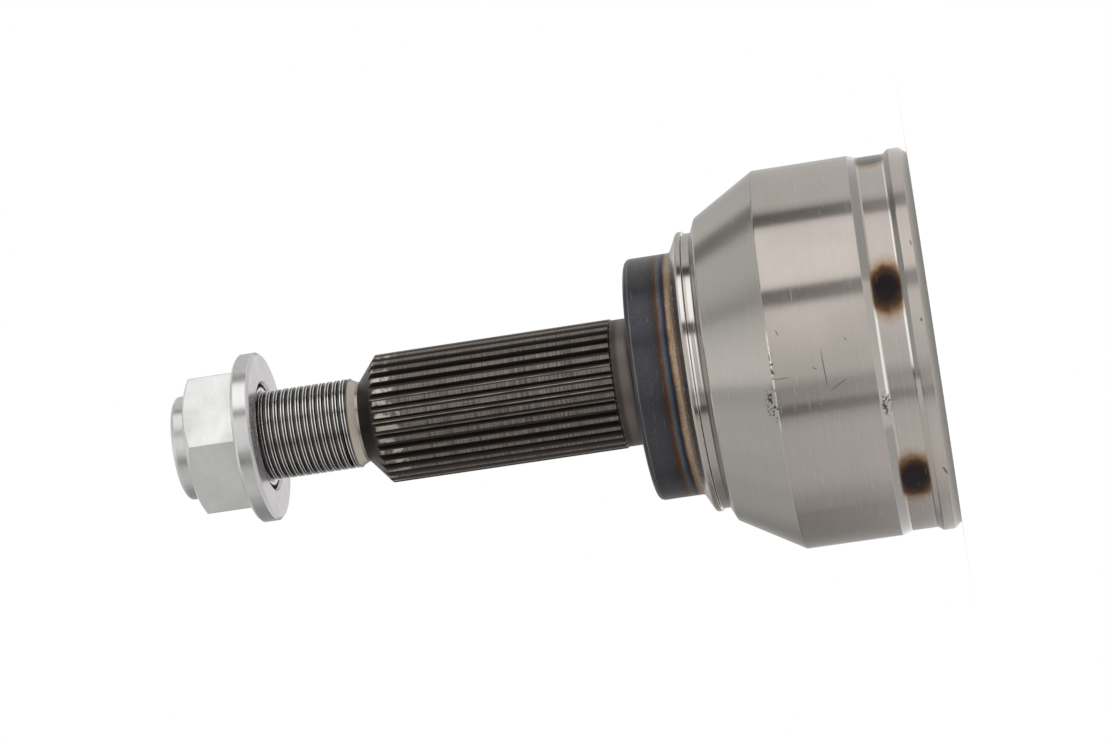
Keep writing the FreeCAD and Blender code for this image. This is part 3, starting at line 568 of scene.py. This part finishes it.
# Captive washer and hub nut. Both are steel with bright zinc plate: the washer is turned, and
# the nut is forged, with a turned crown and a thin collar, to be staked when the joint is fitted.
def zinc_plate(name, feed, depth, cloud):
    """Zinc plate over turned lines of a given feed and depth, clouded by handling, with painted
    shade on the face towards the bell and in the gap round the bore.
    """
    plate, tree, shader = new_material(name, Metallic=1.0)
    spot = use_group(tree, place)
    lines = use_group(tree, lathe, Feed=feed)
    touch = use_group(tree, handling, Cloud_Size=cloud)
    scratch = use_group(tree, knocks, Amount=0.35)["Scratch"]
    colour = tint(tree, fade(tree, touch["Cloud"], 0.3, 0.7), (0.67, 0.675, 0.67, 1), (0.58, 0.58, 0.58, 1))
    colour = tint(tree, fade(tree, lines["Shade"], 0.3, 0.7, 0.0, 0.12), colour, (0.5, 0.5, 0.5, 1))
    colour = tint(tree, scaled(tree, scratch, 0.35), colour, (0.45, 0.44, 0.43, 1))
    # The face towards the bell is painted darker, as painted shade.
    bell_side_shade = fade(tree, spot["Height"], 178.3, 178.9, 1.0, 0.0)
    colour = tint(tree, bell_side_shade, colour, (0.47, 0.445, 0.455, 1))
    # The countersink and the gap round the bore are painted black and matt, as painted shade between nut and
    # washer.
    gap_shade = scaled(tree, band(tree, spot["Radius"], 13.15, 14.3, 0.1),
                   fade(tree, spot["Height"], 182.0, 184.0, 1.0, 0.0))
    colour = tint(tree, gap_shade, colour, (0.006, 0.006, 0.006, 1))
    tree.links.new(fade(tree, gap_shade, 0.0, 1.0, 1.0, 0.0), shader["Metallic"])
    tree.links.new(colour, shader["Base Color"])
    rough = work_out(tree, "ADD", fade(tree, touch["Cloud"], 0.3, 0.7, 0.20, 0.30), gap_shade)
    tree.links.new(rough, shader["Roughness"])
    turned = scaled(tree, lines["Groove"], depth)
    height = work_out(tree, "ADD", turned, scaled(tree, touch["Grain"], 0.8))
    roughen(tree, shader, height, 0.000008, 0.0004)
    return plate


for label, feed, depth, cloud in (("captive_washer", 0.2, 1.0, 10.0), ("hub_nut", 0.3, 0.3, 14.0)):
    dress(label, zinc_plate("bright_zinc_" + label, feed, depth, cloud))


# Floor. A matt pale table that the bell stands on, mouth down. It is let through from below, so
# that the mouth can be looked into, and the camera sees it as white as the room round it.
bpy.ops.object.select_all(action="DESELECT")
bpy.ops.mesh.primitive_plane_add(size=24, location=(0, 0, 0))
floor = bpy.context.active_object
floor.name = "floor"
floor_paint = bpy.data.materials.new("pale_floor")
floor_paint.use_nodes = True
tree = floor_paint.node_tree
tree.nodes.clear()
light_path = put(tree, "LightPath").outputs
seen = work_out(tree, "MAXIMUM", light_path["Is Camera Ray"],
                work_out(tree, "MAXIMUM", light_path["Is Glossy Ray"], light_path["Is Transmission Ray"]))
matt = put(tree, "BsdfDiffuse", {"Color": (0.86, 0.86, 0.86, 1)}).outputs[0]
whitened = scaled(tree, seen, 0.22)
glow = put(tree, "Emission", {"Color": (1, 1, 1, 1), "Strength": whitened}).outputs[0]
lit = put(tree, "AddShader", {0: matt, 1: glow}).outputs[0]
clear = put(tree, "BsdfTransparent").outputs[0]
from_below = put(tree, "NewGeometry").outputs["Backfacing"]
mixed = put(tree, "MixShader", {0: from_below, 1: lit, 2: clear}).outputs[0]
put(tree, "OutputMaterial", {"Surface": mixed})
floor.data.materials.append(floor_paint)


# Room. A white room lights the joint evenly, and a round cloth tent stands about it for the
# metal to mirror: a bright soft box on one side, a dim wall on the other, and dark seams between
# the widths of cloth, which show on the turned steel as lines along its length.
world = bpy.context.scene.world or bpy.data.worlds.new("room")
bpy.context.scene.world = world
world.use_nodes = True
world.node_tree.nodes["Background"].inputs["Color"].default_value = (1, 1, 1, 1)
world.node_tree.nodes["Background"].inputs["Strength"].default_value = 1.0

bpy.ops.object.select_all(action="DESELECT")
bpy.ops.mesh.primitive_cylinder_add(vertices=96, radius=1.3, depth=6.0, end_fill_type="NOTHING")
wall = bpy.context.active_object
wall.name = "light_tent"
tent_cloth = bpy.data.materials.new("light_tent")
tent_cloth.use_nodes = True
tree = tent_cloth.node_tree
tree.nodes.clear()
spot = use_group(tree, place)
round_tent = work_out(tree, "DIVIDE", work_out(tree, "ADD", spot["Turn"], 180.0), 360.0)
level = fade(tree, spot["Height"], 450.0, 800.0)
glows = []
for stops in (
        ((-180, 0.38), (-168, 0.47), (-158, 0.61), (-149, 0.66), (-124, 0.68), (-117, 0.65), (-112, 0.50),
         (-109.5, 0.28), (-108, 0.06), (-104, 0.05), (-102, 0.38), (-94, 0.34), (-91, 0.50), (-87, 0.76),
         (-76, 0.86), (-64, 1.00), (-52, 1.10), (-48, 1.08), (-45.5, 0.78), (-43, 0.18), (-36, 0.12),
         (-34, 1.0), (-31, 1.38), (-15, 1.50), (2.5, 1.38), (7.5, 1.15), (10.5, 0.12), (18, 0.05),
         (22, 0.60), (27, 0.82), (48, 0.78), (150, 0.31)),
        ((-180, 0.77), (-167, 0.74), (-151, 0.82), (-134, 0.78), (-125, 0.80), (-115, 0.71), (-108, 0.64),
         (-99, 0.68), (-94, 1.02), (-83, 1.16), (-71, 1.16), (-49, 1.01), (-39, 0.90), (-29, 0.80),
         (-22, 0.52), (-10, 0.70), (-2, 0.84), (22, 0.90), (30, 0.85), (34, 0.34), (47, 0.32), (51, 0.84),
         (100, 0.9), (151, 0.60), (160, 0.64), (169, 0.68))):
    warm = [((angle + 180) / 360, (glow, glow * 0.99, glow * 0.975)) for angle, glow in stops]
    glows.append(colour_ramp(tree, round_tent, warm))
light = put(tree, "Emission", {"Color": tint(tree, level, *glows), "Strength": 1.0}).outputs[0]
put(tree, "OutputMaterial", {"Surface": light})
wall.data.materials.append(tent_cloth)
wall.visible_camera = False
wall.visible_diffuse = False
wall.visible_shadow = False


# Camera. It looks across the axis from just above the floor, turned so that the stub lies to
# the left with the nut a little lower than the bell.
facing = math.radians(-75.9)
lift = math.radians(6.83)
roll = math.radians(8.5)
drop = math.radians(0.42387)
away = 0.814
eye_height = 0.0020
out = Vector((math.cos(facing), math.sin(facing), 0))
axis = Vector((0, 0, 1))
ahead = axis * math.sin(lift) - out * math.cos(lift)
along = -axis * math.cos(lift) - out * math.sin(lift)
down = ahead.cross(along)
aim = ahead * math.cos(drop) - down * math.sin(drop)
low = down * math.cos(drop) + ahead * math.sin(drop)
right = along * math.cos(roll) + low * math.sin(roll)
upward = along * math.sin(roll) - low * math.cos(roll)
bpy.ops.object.camera_add()
camera = bpy.context.active_object
stand = Matrix((right, upward, -aim)).transposed().to_4x4()
stand.translation = Vector((0, 0, eye_height)) + out * away
camera.matrix_world = stand
camera.data.lens = 100.8
camera.data.sensor_width = 36
camera.data.clip_end = 100
bpy.context.scene.camera = camera
bpy.context.scene.view_settings.view_transform = "Standard"
